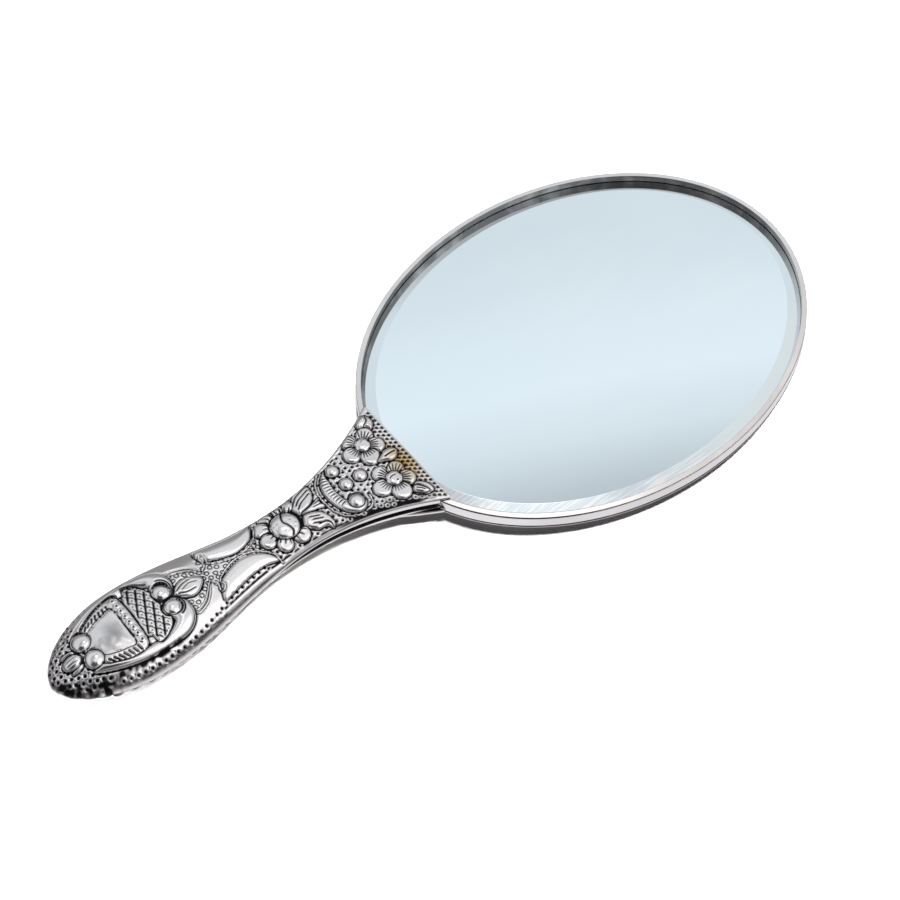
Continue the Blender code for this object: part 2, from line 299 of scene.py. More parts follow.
    def flower(self, x, y, disc, petals, height=0.55, ticks=3, tick_length=1.5):
        """Overlapping round petals, given as (dx, dy, radius), with chased rays from a domed disc."""
        for dx, dy, radius in petals:
            self.boss(x + dx, y + dy, radius + 0.15, height, shoulder=0.9, moat=0.5)
        for dx, dy, radius in petals:
            middle = np.degrees(np.arctan2(dy, dx))
            spread = np.degrees(np.arctan2(radius * 0.74, np.hypot(dx, dy)))
            for turn in np.linspace(middle - spread, middle + spread, ticks):
                away = heading(turn)
                start, end = away * (disc + 0.7), away * (disc + 0.7 + tick_length)
                self.groove([(x + start[0], y + start[1]), (x + end[0], y + end[1])], 0.44, 0.45, taper=True)
        self.boss(x, y, disc, height * 0.9, shoulder=disc * 0.8, base=0.1)

    def oxide_and_shade(self):
        """How black the surface is, 0 to 1: tarnish that stays in the hollows and is rubbed off the high
        points, and the painted shade laid on with it.
        """
        hollow = smoothstep(blurred(self.height, 0.7) - self.height, 0.12, 0.45)
        return np.clip(np.maximum(self.tarnish_and_shade, hollow), 0, 1)

    def sample(self, values, x, y):
        """Values of the grid at plan positions, between its cells."""
        u = np.clip((x - self.low[0]) / CELL, 0, self.x.shape[1] - 1.001)
        v = np.clip((y - self.low[1]) / CELL, 0, self.x.shape[0] - 1.001)
        i, j = u.astype(int), v.astype(int)
        fu, fv = u - i, v - j
        low = values[j, i] * (1 - fu) + values[j, i + 1] * fu
        high = values[j + 1, i] * (1 - fu) + values[j + 1, i + 1] * fu
        return low * (1 - fv) + high * fv


def blurred(values, sigma):
    """A Gaussian blur, sigma in mm."""
    pad = int(3 * sigma / CELL) + 1
    padded = np.pad(values, pad, mode="edge")
    spread = [np.exp(-2 * (np.pi * np.fft.fftfreq(n) * sigma / CELL) ** 2) for n in padded.shape]
    kernel = spread[0][:, None] * spread[1][None, : padded.shape[1] // 2 + 1]
    made = np.fft.irfft2(np.fft.rfft2(padded) * kernel, padded.shape)
    return made[pad:-pad, pad:-pad]


# ---- The handle's front ----


def flare_motifs(r):
    """Two flowers, buds and berries over a fluted crescent, on the flare next to the glass."""
    for row in range(3):
        for x in np.arange(-20.6 + 0.8 * row, 21, 1.75):
            if abs(x) < 20.6 - 1.1 * row:
                r.dash(x, CHORD_Y - 1.0 - 1.3 * row, 40)
    r.form([(-19.4, -73.6), (-18.4, -71.8), (-16, -71.2), (-14.2, -72.2), (-13.4, -73.8), (-15.4, -75.2),
            (-15.8, -76.6), (-17.6, -76.5), (-19, -75.2)], 0.7, 2.4)
    r.groove([(-18.4, -72.3), (-17, -72.6), (-16.3, -73.4), (-15.7, -74.6)], 0.45, 0.4)
    r.form([(10.4, -74.6), (12.2, -72.4), (14.4, -71.6), (16, -72), (15.9, -74.6), (14, -77), (11.6, -77.3),
            (11.2, -76)], 0.45, 1.2)
    r.form([(11.3, -75.8), (12.6, -74.4), (14.8, -73.3), (15.5, -73.5), (15, -75.2), (13.4, -76.8),
            (12.2, -77)], 0.75, 1.2)
    r.groove([(12.6, -75.8), (13.8, -74.6), (14.6, -74.2)], 0.4, 0.3)
    r.flower(-10.3, -79.2, 2.3, [(-2.9, -2.6, 2.6), (-2.5, 2.7, 2.6), (1.1, -4.8, 2.8), (2.5, 3.4, 2.6),
                                 (5.0, -0.6, 2.9)], ticks=5, tick_length=2.0)
    r.flower(5.4, -79.0, 2.45, [(-3.7, -2.3, 2.6), (-2.6, 2.6, 2.5), (0.8, -5.0, 2.9), (2.2, 3.4, 2.6),
                                (5.2, -0.8, 2.9)], ticks=5, tick_length=2.0)
    r.groove([(-12, -78.4), (-11.4, -78.9), (-11.2, -79.6)], 0.3, 0.2)
    r.groove([(4.7, -78.0), (4.5, -79), (4.9, -80.2)], 0.35, 0.3)
    r.ring(6.7, -78.6, 0.5)
    r.form([(-2.6, -71.8), (-0.7, -73.2), (-0.4, -75.4), (-1.4, -77.4), (-2.3, -79), (-3.4, -77.6),
            (-4.6, -75.6), (-4.5, -73.2)], 0.75, 2.0)
    r.groove([(-2.5, -72.8), (-2.6, -74.6), (-2.5, -76.4)], 0.5, 0.35)
    for x, y in ((-1.8, -86.6), (-1.8, -92.0), (-8.2, -92.6)):
        r.boss(x, y, 2.15, 1.0)
    crescent = [(-10, -94.6), (-7.6, -97.6), (-4.6, -99.3), (-1, -99.8), (3, -99.3), (6.4, -97.8),
                (8.6, -95.2), (8.9, -92.8), (7.4, -90.9), (4.9, -90.3), (2.9, -91.3), (2.2, -93.6),
                (3.2, -95.4), (0.4, -96.1), (-2.6, -96.2), (-5.4, -95.7), (-8, -95.4)]
    r.form(crescent, 0.7, 1.7, depth=0.5)
    for turn in np.linspace(0, 1, 11):
        x = -7.2 + 10.6 * turn
        y = -96.2 - 0.7 * np.sin(np.pi * turn)
        lean = (turn - 0.5) * 1.3
        r.groove([(x, y), (x + lean * 0.9, y - 1.9)], 0.42, 0.42, taper=True)
    r.boss(5.2, -93.2, 2.35, 1.1, depth=0.55)
    r.ridge([(-10.2, -97), (-7.4, -99.6), (-4, -101), (0, -101.3), (4, -100.7), (7, -99.2), (9.2, -96.8)],
            0.5, 0.3)
    r.ridge([(9.6, -92.8), (9.3, -90.6), (7.6, -89), (5.2, -88.5)], 0.4, 0.2)


def neck_motifs(r):
    """A large flower under three leaves, then two long smooth lobes back to back."""
    r.form([(-1.2, -109.8), (-1.6, -107), (-2.9, -104.4), (-5, -102.6), (-8, -101.8), (-10, -103),
            (-9.9, -108), (-8.4, -110.4), (-4.6, -111)], 0.7, 1.8)
    for x in (-2.9, -4.3, -5.8, -7.3):
        r.groove([(x, -109.6 - 0.12 * x), (x - 1.5, -107), (x - 2.9, -104.2 - 0.35 * x)], 0.42, 0.34)
    r.form([(-3, -101.9), (-1.2, -102.3), (0.7, -101.9), (0.2, -104.6), (-1, -109.2), (-2, -105)], 0.5, 0.8)
    for line in ([(-2.1, -102.2), (-1.6, -104.2)], [(-0.7, -102.2), (-0.9, -105)]):
        r.groove(line, 0.35, 0.3)
    r.form([(-0.2, -109.7), (0.2, -106.6), (1.8, -104.2), (4.4, -103), (7.2, -103), (8.6, -104.2),
            (7.2, -105), (6.4, -106.6), (6.2, -108.4), (4.6, -110.2), (3.2, -111.2)], 0.75, 1.8)
    for x, y in ((1.4, -108.4), (2.7, -108.0), (3.9, -108.6)):
        r.groove([(x, y), (x + 1.3, y + 2.9)], 0.4, 0.34)
    r.groove([(8.2, -104.0), (6.4, -104.2), (5.3, -105.4), (5.0, -107.2)], 0.45, 0.4)
    petals = [(-6, 4.2, 2.3), (-6.5, 0.6, 2.3), (-5.9, -3.2, 2.4), (-3.0, -6.9, 2.6), (1.7, -7.3, 2.5),
              (5.4, -3.7, 2.4), (5.5, 2.4, 2.6)]
    r.flower(-0.9, -115.9, 4.7, petals, 0.7, ticks=3, tick_length=1.3)
    r.boss(-0.9, -115.9, 4.7, 1.25, shoulder=4.2, depth=0.5)
    r.groove([(-5.0, -114.5), (-3.2, -115.6), (-1.6, -116.0), (0.2, -115.3), (2.2, -115.0), (3.4, -115.8)],
             0.6, 0.32)
    for x, y in ((-2.8, -112.9), (-1.4, -113.7), (0.2, -112.6), (1.4, -113.6), (-2.2, -118), (-0.8, -118.4),
                 (-2, -119.4), (1.2, -117.2)):
        r.dash(x, y, 90, 0.3, 0.4, 0.16)
    r.groove(arc(-0.9, -115.9, 5.3, 50, 128), 1.0, 0.6, curve=False)
    left_lobe = [(-8.4, -124.6), (-6.2, -125), (-3.6, -127.2), (-2.2, -130.6), (-1.9, -134.4), (-2.9, -138.6),
                 (-4.6, -142.8), (-5.6, -144), (-8.6, -144.6), (-10.2, -143.4), (-9.1, -138), (-8.3, -132),
                 (-8, -127.4)]
    right_lobe = [(7.6, -124.4), (5.2, -125.2), (3, -127.4), (1.4, -130.6), (0.9, -134.4), (1.9, -138.6),
                  (3.8, -142.9), (5.2, -144), (7.6, -145.4), (9.8, -145.6), (8.3, -139.4), (7.1, -133.4),
                  (6.9, -128.6)]
    for lobe in (left_lobe, right_lobe):
        r.form(lobe, 0.95, 3.0, moat=0.45, depth=0.5)
    r.ridge([(-8.8, -123.9), (-5.6, -124.4), (-2.6, -126.9), (-1.1, -130.4), (-0.8, -134.4), (-1.8, -138.8),
             (-3.4, -142.4)], 0.45, 0.3, moat=0.35)
    r.ridge([(8.6, -123.7), (4.8, -124.5), (2.0, -127.1), (0.3, -130.4), (-0.2, -134.4), (0.8, -138.8),
             (2.6, -142.4)], 0.45, 0.3, moat=0.35)
    r.ridge([(-3.4, -142.4), (-4.7, -142.6), (-6.4, -142.5), (-7.2, -143.4), (-6.4, -144.1), (-4.9, -143.8),
             (-3.6, -144.2), (-2.4, -145.8)], 0.5, 0.35, moat=0.35)
    r.ridge([(2.6, -142.4), (3.9, -143.4), (5.6, -143.2), (6.9, -144.4), (6.7, -145.1), (5.2, -144.7),
             (3.6, -144.6), (2.6, -145.6)], 0.5, 0.35, moat=0.35)


def bud_motifs(r):
    """A flame-shaped bud between two winged lines."""
    for side, reach in ((-1, 8.2), (1, 8.9)):
        for step in (0.0, 1.0):
            wing = [(1.7 + step * 0.5, -145.9 - step * 0.6), (4.8 - step * 0.4, -147.9 - step * 0.6),
                    (reach - 1.4 - step * 0.8, -150.6 - step * 0.5), (reach - step, -154 - step * 0.2),
                    (reach - step * 1.2, -155.6)]
            r.ridge([(side * x, y) for x, y in wing], 0.4, 0.25, moat=0.32)
    r.form([(0, -147.3), (1.9, -148.8), (3.3, -151.2), (3.4, -153.6), (2.2, -156), (0.2, -158.2),
            (-2, -156.2), (-3.3, -153.6), (-3.2, -151.2), (-1.9, -148.8)], 0.9, 2.4, depth=0.5)
    for line in ([(-1.8, -151.4), (-1.5, -154), (-0.5, -156.6)], [(1.7, -151), (1.6, -154), (0.6, -156.6)]):
        r.groove(line, 0.4, 0.35)
    r.groove([(0, -149.6), (-0.7, -152), (0.1, -154.8)], 0.35, 0.25)


def band_outline(side):
    """The wide smooth scroll from the middle, round the cartouche and down to the berries."""
    right = [(0.2, -158.4), (2.4, -156.5), (5.4, -155.5), (8.6, -156.1), (11.2, -158.4), (12.7, -162),
             (13.1, -168), (12.8, -175), (11.3, -182), (8.8, -188), (6.4, -191.6), (5.6, -188.4),
             (6.6, -184), (9, -178), (9.8, -171), (9.4, -166), (7.2, -162.4), (5.4, -163.2),
             (3.2, -163.9), (0.9, -162.6), (0.15, -160.6)]
    return [(side * x, y) for x, y in right]


def cartouche_motifs(r):
    """Two scrolls, a latticed panel and a blank shield in a beaded frame, two berries and a tail bud."""
    for side in (-1, 1):
        r.form(band_outline(side), 1.5, 3.0, moat=0.5, depth=0.5)
    for side in (-1, 1):
        r.groove(arc(side * 3.4, -160.4, 3.5, 90 - side * 80, 90 + side * 150), 0.5, 0.4, curve=False)
        r.boss(side * 3.3, -160.4, 2.75, 1.15, moat=0.45, depth=0.5)
        r.groove(arc(side * 3.3, -160.4, 1.9, 90 - side * 60, 90 - side * 10), 0.4, 0.2, curve=False)
    panel = [(-5.6, -163.2), (-8.8, -164.8), (-10.6, -167), (-11.5, -168.8), (-9.6, -169.8), (-8.2, -171),
             (-4, -171.2), (0, -171.5), (4, -172), (6.8, -172.2), (7.6, -170.8), (10.4, -170.2),
             (9.9, -167.4), (8.2, -164.4), (6, -162.9), (4.2, -164), (2, -164), (0, -163), (-2, -163.6),
             (-4, -163.8)]
    line = smooth_curve(panel, closed=True)
    at = r.near(line, 1.5)
    distance = r.shape_distance(at, line)
    r.lay(at, distance, 0.35, 0.6, base=-0.05)
    down, up = r.x[at] * 0.5 + r.y[at] * 0.87, r.x[at] * 0.62 - r.y[at] * 0.78
    inside = smoothstep(-distance, 0.2, 0.7)
    for value, pitch, deep, fine in ((down, 2.5, 0.5, 0.36), (up, 2.1, 0.3, 0.24)):
        phase = np.abs((value / pitch) % 1 - 0.5) * pitch
        cut = inside * peak(phase, fine)
        r.height[at] -= deep * cut
        r.darken(at, cut * min(1.0, deep / 0.4))
    middle = np.hypot(((down / 2.5 + 0.5) % 1 - 0.5) * 2.5, ((up / 2.1 + 0.5) % 1 - 0.5) * 2.1)
    dot = inside * peak(middle, 0.3)
    r.height[at] -= 0.3 * dot
    r.darken(at, 0.9 * dot)
    border = [(-11.4, -174.6), (-11, -172.6), (-9, -171.8), (-4, -171.9), (2, -172.3), (7, -172.7),
              (9.3, -173.8), (9.9, -176), (9.6, -180), (8, -184.4), (6, -187.4), (0, -190),
              (-6.4, -187.4), (-8.6, -184), (-10.6, -179)]
    r.form(border, 0.75, 0.8, moat=0.5, depth=0.5)
    for x in np.arange(-9.2, 9, 2.3):
        r.ring(x, -173.7 - 0.045 * (x + 9), 0.62, 0.12, 0.4)
    for side in (-1, 1):
        for step in range(7):
            y = -176.4 - 1.5 * step
            x = side * (8.4 - 0.045 * step**2)
            r.dash(x, y, side * (8 + 6 * step), 1.7, 0.5, 0.42)
    field = [(-7.4, -175.6), (0, -175.8), (6.4, -176.2), (6.5, -179), (5.6, -182.6), (4, -185.8), (0, -189),
             (-4.6, -186), (-6.4, -182.4), (-7.3, -179)]
    r.form(field, 0.4, 5.0, moat=0.4, depth=0.4, base=0.05)
    at = r.near(field, 0)
    inward = -r.shape_distance(at, smooth_curve(field, closed=True))
    cloud = blurred(np.random.default_rng(7).standard_normal(r.x[at].shape), 1.0)
    cloudy = 0.50 + 0.10 * cloud / cloud.std() - 0.06 * np.hypot(r.x[at] - 0.5, (r.y[at] + 179) * 0.8)
    r.darken(at, np.clip(cloudy, 0, 0.6) * smoothstep(inward, 0.4, 1))
    for x in (-4.2, 3.0):
        r.boss(x, -189.2, 3.05, 1.25, moat=0.45, depth=0.5)
    for side in (-1, 1):
        r.boss(side * 2.9 - 0.6, -194.6, 0.85, 0.45, stretch=2.6, turn=side * 8)
    r.boss(-0.6, -194.8, 2.3, 1.0, stretch=1.35, depth=0.5)
    for x in (-1.3, 0.2):
        r.groove([(x, -193), (x * 0.9 - 0.05, -196.2)], 0.3, 0.2)


def edge_beads(r, width):
    """A row of ring punches inside the right edge from waist to tail, and at the left only on the tail."""
    for y in np.arange(-129.5, -188, -2.35):
        inset = 3.1 - 1.8 * smoothstep(-y, 140, 165)
        r.ring(width(y) - inset, y, 0.72, 0.5, 0.14)
        if y < -181:
            r.ring(1.9 - width(y), y, 0.6, 0.4, 0.12)


def front_relief(width):
    """The embossing of the handle's front. width(y) is half the handle's width."""
    r = Relief((-24, -205), (24, -68))
    edge = width(r.y) - np.abs(r.x)

    def flare(x, y):
        return (y > -129) & (width(y) - np.abs(x) > 1.6) & (y < CHORD_Y - 4.2)

    def waist(x, y):
        between = (y <= -125) & (y > -146) & (np.abs(x) < 7)
        return between | ((y <= -146) & (y > -157) & (np.abs(x) < 2.5 + (-146 - y) * 0.7))

    def tail(x, y):
        return (y <= -188) & (width(y) - np.abs(x) > 1.2)

    # The chased line inside the edge, and painted shade on the flare's ground at its near edge
    inset = 1.5 + 0.5 * smoothstep(-r.y, 122, 134)
    line = peak(edge - inset, 0.3) * smoothstep(-r.y, 72, 76) * (1 - smoothstep(-r.y, 146, 156))
    line *= np.where(r.x < 0, 1 - smoothstep(-r.y, 118, 124), 1)
    r.height -= 0.35 * line
    r.darken(WHOLE, line)
    shaded = smoothstep(r.x, 4, 12) * (1 - smoothstep(edge, 3, 7)) * (1 - smoothstep(-r.y, 118, 126))
    r.darken(WHOLE, 0.85 * shaded * smoothstep(-r.y, 74, 79))

    # Smaller rings towards the flare's near edge leave more of the painted shade between them
    def flare_ring(x, y):
        near_edge = smoothstep(x, 4, 12) * (1 - smoothstep(width(y) - abs(x), 3, 6))
        r.ring(x, y, 0.8 - 0.24 * near_edge)

    mottle = blurred(np.random.default_rng(11).standard_normal(r.x.shape), 0.5)
    mottle = np.clip(0.85 + 0.4 * mottle / mottle.std(), 0, 1)
    r.punched(flare, flare_ring, 2.0, -0.2, 0.55, seed=1)
    # Mottled painted shade over the rings at the flare's near edge
    r.darken(WHOLE, 0.38 * shaded * mottle)
    r.punched(waist, r.eye, 2.3, -0.1, 0.0, seed=2)
    r.punched(tail, r.ring, 2.1, -0.1, 0.9, seed=3)
    flare_motifs(r)
    neck_motifs(r)
    bud_motifs(r)
    cartouche_motifs(r)
    edge_beads(r, width)
    # The near slope of the bulb darkened and dulled, partly tarnish and partly a painted dark reflection; the
    # side of the tail with painted shade; and the dented near edge with painted dark patches
    slope = peak(edge - 3.2, 1.1) * (r.x > 0) * smoothstep(-r.y, 158, 168)
    slope *= 1 - smoothstep(-r.y, 188, 194)
    painted_tail_shade = smoothstep(r.x, -3, 3) * smoothstep(-r.y, 183, 191) * (1 - smoothstep(edge, 2.5, 5.5))
    near_side = (r.x > 0) * smoothstep(-r.y, 132, 150)
    shade_by_side = 0.6 * near_side * (1 - smoothstep(edge, 0.9, 1.6)) * smoothstep(mottle, 0.5, 0.9)
    r.darken(WHOLE, mottle * np.maximum(slope, 0.85 * painted_tail_shade))
    r.darken(WHOLE, shade_by_side)
    r.dented(near_side * (1 - smoothstep(edge, 2.0, 3.2)), 0.6, 0.05, seed=8)
    r.dented(1.0, 1.6, 0.02, seed=5)
    field = smoothstep(7.2 - np.hypot(r.x * 1.05, (r.y + 181) * 0.95), 0.0, 1.5)
    r.dented(field, 0.7, 0.035, seed=6)
    r.height *= smoothstep(edge, 0.1, np.where(r.x < 0, 1.9, 1.1))
    r.tarnish_and_shade *= np.maximum(smoothstep(edge, 0.1, 0.7), painted_tail_shade)
    r.height = np.maximum(r.height, -0.6)
    return r


# ---- The backs of the handle and the head ----


def petals(count, reach, radius, turn=0.0):
    """Round petals evenly spaced about a middle."""
    turns = np.radians(turn + np.arange(count) * 360 / count)
    return [(reach * np.cos(t), reach * np.sin(t), radius) for t in turns]


def leaf(r, x, y, turn, length, width):
    """A pointed leaf from its stalk at x, y, with a midrib and veins."""
    along = heading(turn)
    across = np.array([-along[1], along[0]])

    def place(share, side):
        return np.array([x, y]) + along * length * share + across * width / 2 * side

    outline = [(0, 0), (0.15, 0.6), (0.4, 1), (0.72, 0.66), (1, 0), (0.72, -0.66), (0.4, -1), (0.15, -0.6)]
    r.form([place(*p) for p in outline], 0.55, width * 0.3, moat=0.5)
    r.groove([place(0.08, 0), place(0.86, 0)], 0.45, 0.4, taper=True)
    for share in (0.26, 0.44, 0.6):
        for side in (-1, 1):
            r.groove([place(share, 0.1 * side), place(share + 0.13, 0.62 * side)], 0.36, 0.3)


def scroll(r, x, y, radius, start, sweep, width=1.5):
    """A raised scroll that winds in to a boss, from start through sweep degrees."""
    share = np.linspace(0, 1, 30)
    turn = np.radians(start + sweep * share)
    reach = radius * (1 - 0.72 * share)
    line = np.stack([x + reach * np.cos(turn), y + reach * np.sin(turn)], 1)
    r.ridge(line, width, 0.55, moat=0.5, depth=0.4, curve=False, base=0.0)
    r.boss(x, y, radius * 0.3, 0.8, moat=0.5)


def rear_relief(width):
    """The embossing of the handle's back: a flower and leaves at the flare, two lobes and a blank oval."""
    r = Relief((-24, -205), (24, -60))
    edge = width(r.y) - np.abs(r.x)

    def ground(x, y):
        flare = (y > -132) & (width(y) - np.abs(x) > 1.6)
        tail = (y < -188) & (width(y) - np.abs(x) > 1.4)
        return flare | tail | ((y > -158) & (y < -148) & (np.abs(x) < 5))

    line = peak(edge - 1.2, 0.3) * (1 - smoothstep(-r.y, 130, 140))
    r.height -= 0.3 * line
    r.darken(WHOLE, line)
    r.punched(ground, r.ring, 2.15, -0.15, 0.8, seed=11)
    for side in (-1, 1):
        for x, y, lean, length, wide in ((3.5, -84.5, 52, 11.5, 5.4), (2.5, -93, 110, 7.5, 3.6),
                                         (1.0, -104.5, 26, 11, 4.6)):
            leaf(r, side * x, y, 90 - side * lean, length, wide)
        scroll(r, side * 5.2, -101.0, 3.0, 90 - side * 90, side * 260, 1.0)
    r.flower(0, -88, 2.5, petals(6, 4.6, 2.6, 90), ticks=3)
    r.flower(0, -113.5, 3.4, petals(7, 5.0, 2.3, 90), ticks=3, tick_length=1.2)
    for side in (-1, 1):
        lobe = [(1.2, -121.5), (4.6, -122.5), (6.8, -126), (7.2, -132), (8, -139), (9, -146), (6, -148),
                (3.4, -142), (1.6, -134), (0.8, -127)]
        r.form([(side * x, y) for x, y in lobe], 0.8, 2.6, moat=0.5)
        scroll(r, side * 6.6, -153.5, 3.2, 90 - side * 60, -side * 270, 1.3)
        for i, y in enumerate(np.arange(-146.0, -192, -5.2)):
            r.boss(side * (width(y) - 1.6), y, 1.7, 0.55, stretch=1.5, turn=side * (14 + 4 * i), moat=0.5)
    r.form([(0, -144), (1.8, -147), (2.6, -150), (1.8, -153.5), (0, -157), (-1.8, -153.5), (-2.6, -150),
            (-1.8, -147)], 0.8, 2.0, moat=0.5)
    r.plate(arc(0, -173.5, 9.6, 0, 360, 49, 1.45), 2, 0.7, 1.2, moat=0.55, soft=0)
    for turn in np.arange(0, 360, 15.0):
        spot = arc(0, -173.5, 8.1, turn, turn, 1, 1.5)[0]
        r.ring(spot[0], spot[1], 0.62, 0.35, 0.1)
    r.plate(arc(0, -173.5, 6.5, 0, 360, 49, 1.6), 2, 0.3, 3.0, moat=0.45, base=0.2, soft=0)
    r.flower(0, -193.0, 1.5, petals(5, 2.7, 1.6, 90), ticks=2, tick_length=0.8)
    r.dented(1.0, 1.6, 0.02, seed=12)
    r.dented(smoothstep(-r.y, 140, 150) * (1 - smoothstep(edge, 2.5, 4)), 0.8, 0.07, seed=13)
    r.height = np.maximum(r.height, -0.45) * smoothstep(edge, -0.2, 0.5)
    return r


def disc_relief():
    """The embossing of the head's back: flowers, leaves and scrolls round a blank oval."""
    r = Relief((-62, -79), (62, 79))
    share = np.hypot(r.x / HEAD_ACROSS, r.y / HEAD_LONG)

    def ground(x, y):
        away = np.hypot(x / HEAD_ACROSS, y / HEAD_LONG)
        return (away > 0.42) & (away < 0.915)

    r.punched(ground, r.ring, 2.3, -0.1, 0.8, seed=21)
    for at, width in ((0.925, 0.35), (0.985, 0.3)):
        line = peak((share - at) * HEAD_ACROSS, width)
        r.height -= 0.35 * line
        r.darken(WHOLE, line)
    for turn in np.arange(0, 360, 2.25):
        t = np.radians(turn + 12 * np.sin(np.radians(2 * turn)) / 4)
        r.dash(0.955 * HEAD_ACROSS * np.cos(t), 0.955 * HEAD_LONG * np.sin(t), turn + 35, 1.5, 0.55, 0.4)
    for up in (-1, 1):
        for side in (-1, 1):
            scroll(r, side * 20.5, up * 49.5, 9.0, 90 - side * 90, side * up * 320, 2.6)
            scroll(r, side * 39.5, up * 27.5, 8.6, up * (90 + side * 70), -side * up * 320, 2.6)
            for x, y, lean, length, width in ((27.5, 38.5, 26, 17, 8.5), (28.5, 26.5, -50, 15, 7),
                                              (12.5, 40.0, 150, 14, 6.5), (8.5, 62.0, 6, 15, 7),
                                              (49.5, 9.5, 96, 15, 6)):
                leaf(r, side * x, up * y, 90 - side * (90 - up * lean), length, width)
            r.boss(side * 32.5, up * 54.5, 2.6, 0.8, moat=0.5)
            r.boss(side * 19.5, up * 36.0, 2.2, 0.8, moat=0.5)
        r.flower(0, up * 53.5, 4.4, petals(6, 8.0, 4.5, 30), 0.6, ticks=5, tick_length=2.6)
        r.flower(up * 41.0, 0, 4.0, petals(6, 7.4, 4.2, 0), 0.6, ticks=5, tick_length=2.4)
    for share, height, shoulder, base in ((0.42, 0.55, 1.4, 0.0), (0.345, 0.15, 1.0, 0.4)):
        oval_line = arc(0, 0, HEAD_ACROSS * share, 0, 360, 73, HEAD_LONG / HEAD_ACROSS)
        r.plate(oval_line, 2, height, shoulder, moat=0.55, base=base, soft=0)
    for turn in np.arange(0, 360, 6.0):
        t = np.radians(turn)
        r.ring(0.383 * HEAD_ACROSS * np.cos(t), 0.383 * HEAD_LONG * np.sin(t), 0.75, 0.4, 0.0)
    r.dented(1.0, 1.8, 0.015, seed=22)
    r.height = np.maximum(r.height, -0.45)
    return r


# ---- The handle's plain form, by distance from its tail ----


def ease(at, start, end):
    """Goes from 0 at start to 1 at end as half a cosine wave."""
    return (1 - np.cos(np.pi * np.clip((at - start) / (end - start), 0, 1))) / 2


def tail_share(at):
    """How far the tail's round end has opened, 0 at its tip and 1 at the bulb."""
    back = (BULB_AT - np.minimum(at, BULB_AT)) / BULB_AT
    return np.clip(1 - back * back, 0, 1) ** TAIL_ROUNDNESS


def half_width(at):
    waist = BULB_WIDTH + (NECK_WIDTH - BULB_WIDTH) * ease(at, BULB_AT, NECK_AT)
    flare = np.clip((at - NECK_AT) / (CHORD_AT - NECK_AT), 0, None) ** 2
    beyond = waist + (CHORD_WIDTH - NECK_WIDTH) * flare
    return np.where(at <= BULB_AT, BULB_WIDTH * tail_share(at), beyond) / 2


def middle_height(at, bulb, neck, chord):
    """Height of the handle's front or back along its middle."""
    along = bulb + (neck - bulb) * ease(at, BULB_AT, NECK_AT) + (chord - neck) * ease(at, NECK_AT, CHORD_AT)
    return np.where(at <= BULB_AT, SEAM + (bulb - SEAM) * tail_share(at), along)


def squareness(at):
    """The power of the section's superellipse: nearly round at the bulb, and squarer towards the flare."""
    return ROUND_POWER + FLARE_POWER * ease(at, NECK_AT, CHORD_AT) ** 1.5


def seam_gap(at):
    """Height of a shell's edge from the seam: a butt joint at the bulb, room for a strip at the neck."""
    return BUTT + (SHEET / 2 + GAP - BUTT) * ease(at, STRIP_AT - 10, STRIP_AT - 2)


def stations(spacing, fine_end=0.0):
    """Distances from the tip, evenly spaced along the handle's curved outline."""
    at = np.linspace(0, 1, OUTLINE_SAMPLES) ** 2 * CHORD_AT
    run = np.hypot(np.diff(at), 0.7 * np.diff(half_width(at)))
    length = np.concatenate([[0], np.cumsum(run)])
    count = int(length[-1] / spacing)
    made = np.interp(np.linspace(0, length[-1], count + 1)[1:], length, at)
    if fine_end:
        last = CHORD_AT - fine_end * (1 - np.sin(np.linspace(0, pi / 2, 6)))
        made = np.concatenate([made[made < CHORD_AT - fine_end - 0.1], last])
    return made


def arches(at, inset, edge, top, count):
    """Rows of evenly spaced points over the handle from -X to +X: superellipses from edge up (or down) to
    top. at, inset, edge and top have one value for each row."""
    turn = np.linspace(0, pi, ARCH_SAMPLES)
    rows = []
    for w, n, e, t, y in zip(half_width(at) - inset, squareness(at), edge, top, at + TAIL_Y):
        reach = (np.abs(np.cos(turn)) ** n + np.abs(np.sin(turn)) ** n) ** (-1 / n)
        x, z = -w * reach * np.cos(turn), e + (t - e) * reach * np.sin(turn)
        length = np.concatenate([[0], np.cumsum(np.hypot(np.diff(x), np.diff(z)))])
        even = np.linspace(0, length[-1], count + 1)
        row = [np.interp(even, length, x), np.full(count + 1, y), np.interp(even, length, z)]
        rows.append(np.stack(row, 1))
    return np.array(rows)


def facing(rows, up):
    """Unit normals of a grid of points, towards up."""
    across = np.gradient(rows, axis=1)
    along = np.gradient(rows, axis=0)
    normal = np.cross(across, along)
    normal /= np.linalg.norm(normal, axis=2, keepdims=True) + 1e-12
    return normal * np.sign((normal @ np.array(up, float)).mean())


def grid_faces(rows, columns, closed=False):
    """Quads between neighbouring rings of vertices, and if closed also from the last ring to the first."""
    j, i = np.meshgrid(np.arange(rows if closed else rows - 1), np.arange(columns), indexing="ij")
    here, after, k = j * columns, (j + 1) % rows * columns, (i + 1) % columns
    return np.stack([here + i, here + k, after + k, after + i], 2).reshape(-1, 4).tolist()


def shell_mesh(loops, tip_height):
    """Points and faces of a handle shell from its closed loops: a fan to the tail's tip and a flat end."""
    rows, columns = loops.shape[:2]
    tip = rows * columns
    points = np.concatenate([loops.reshape(-1, 3), [(0, TAIL_Y, tip_height)]])
    faces = grid_faces(rows, columns)
    faces += [[tip, (i + 1) % columns, i] for i in range(columns)]
    faces.append(list(range(tip - columns, tip)))
    return points, faces


def emboss(relief, plain, up, share):
    """Points moved out by the relief, by their share of it, and how black each of them is."""
    x, y = plain[..., 0], plain[..., 1]
    lift = relief.sample(relief.height, x, y)
    return plain + facing(plain, up) * (lift * share)[..., None], relief.sample(relief.oxide_and_shade(), x, y)


